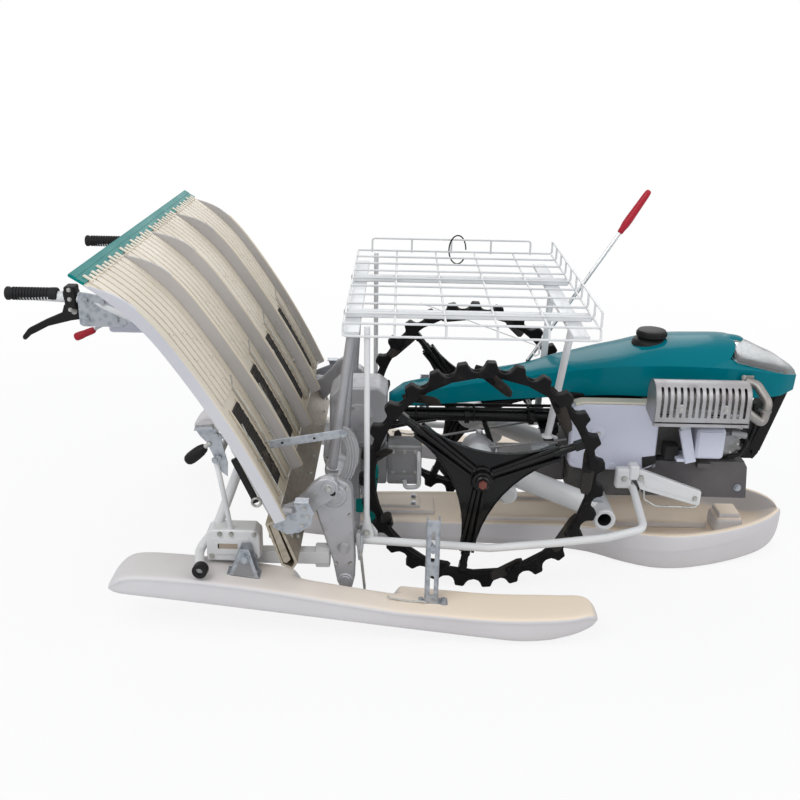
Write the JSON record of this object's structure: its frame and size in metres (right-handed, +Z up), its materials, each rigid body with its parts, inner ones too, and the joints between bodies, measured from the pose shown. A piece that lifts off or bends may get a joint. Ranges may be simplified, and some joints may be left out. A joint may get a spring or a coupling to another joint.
{
  "type": "rice transplanter",
  "caption": "Walk-behind rice transplanter with lugged wheels, a centre float and side floats, a sliding seedling tray, planting cases, a wire rack and a hooded engine.",
  "frame": {"origin": "on the ground below the middle of the bounding box", "axes": "+X forwards, along the longest side; +Y to the machine's left; +Z up"},
  "size_m": [2.146, 1.22, 1.0461],
  "materials": {
    "black_rubber": "matt moulded",
    "black_rubber_belt": "ribbed",
    "grip_rubber": "ribbed",
    "black_steel": "semi-gloss",
    "black_paint": "semi-gloss",
    "float_plastic": "moulded",
    "tray_plastic": "satin",
    "white_plastic": "satin",
    "black_plastic": "matt",
    "teal_plastic": "gloss",
    "teal_gloss": "gloss",
    "lamp_lens": "clear",
    "cast_alloy": "cast",
    "dark_cast": "cast",
    "bright_steel": "zinc plated",
    "bronze_steel": "passivated",
    "cream_paint": "gloss",
    "white_paint": "gloss",
    "white_wire": "gloss",
    "grey_paint": "satin"
  },
  "bodies": {
    "chassis": {"brake_levers": "black_plastic", "centre_float": "float_plastic", "control_bar": "white_plastic", "depth_lever": "bright_steel", "engine_block": "dark_cast", "engine_bracket": "grey_paint", "feed_link": "bright_steel", "front_guard": "black_plastic", "fuel_cap": "black_plastic", "handle_brackets": "bright_steel", "handle_grips": "grip_rubber", "handle_tubes": "white_paint", "headlamp": "lamp_lens", "hood": "teal_gloss", "left_side_float": "float_plastic", "main_frame": "black_paint", "muffler": "bright_steel", "muffler_guard": "bright_steel", "planting_beam": "cast_alloy", "planting_cases": "cast_alloy", "planting_claws": "bright_steel", "rack_crossbars": "white_paint", "rack_fences": "white_wire", "rack_posts": "white_paint", "rack_rails": "white_paint", "rack_shelf": "white_wire", "rear_frame": "white_paint", "rear_gear_case": "cream_paint", "right_side_float": "float_plastic", "shift_lever": "black_paint", "side_covers": "white_paint", "side_float_brackets": "bright_steel", "side_pipes": "white_paint", "side_stays": "white_paint", "swing_cases": "white_paint", "transmission_case": "dark_cast", "tray_rail": "bronze_steel"},
    "right_wheel": {"right_wheel_rim": "black_rubber", "right_wheel_spider": "black_steel"},
    "left_wheel": {"left_wheel_rim": "black_rubber", "left_wheel_spider": "black_steel"},
    "tray": {"seedling_tray": "tray_plastic", "feed_belts": "black_rubber_belt", "tray_top_bar": "teal_plastic"}
  },
  "joints": [
    {"name": "right_wheel_spin", "type": "hinge", "parent": "chassis", "child": "right_wheel", "pos_m": [0.135, -0.3, 0.32944], "axis": [0, 1, 0], "continuous": true},
    {"name": "left_wheel_spin", "type": "hinge", "parent": "chassis", "child": "left_wheel", "pos_m": [0.135, 0.3, 0.32944], "axis": [0, 1, 0], "continuous": true},
    {"name": "tray_slide", "type": "slide", "parent": "chassis", "child": "tray", "axis": [0, 1, 0], "range_m": [-0.14, 0.14]}
  ]
}
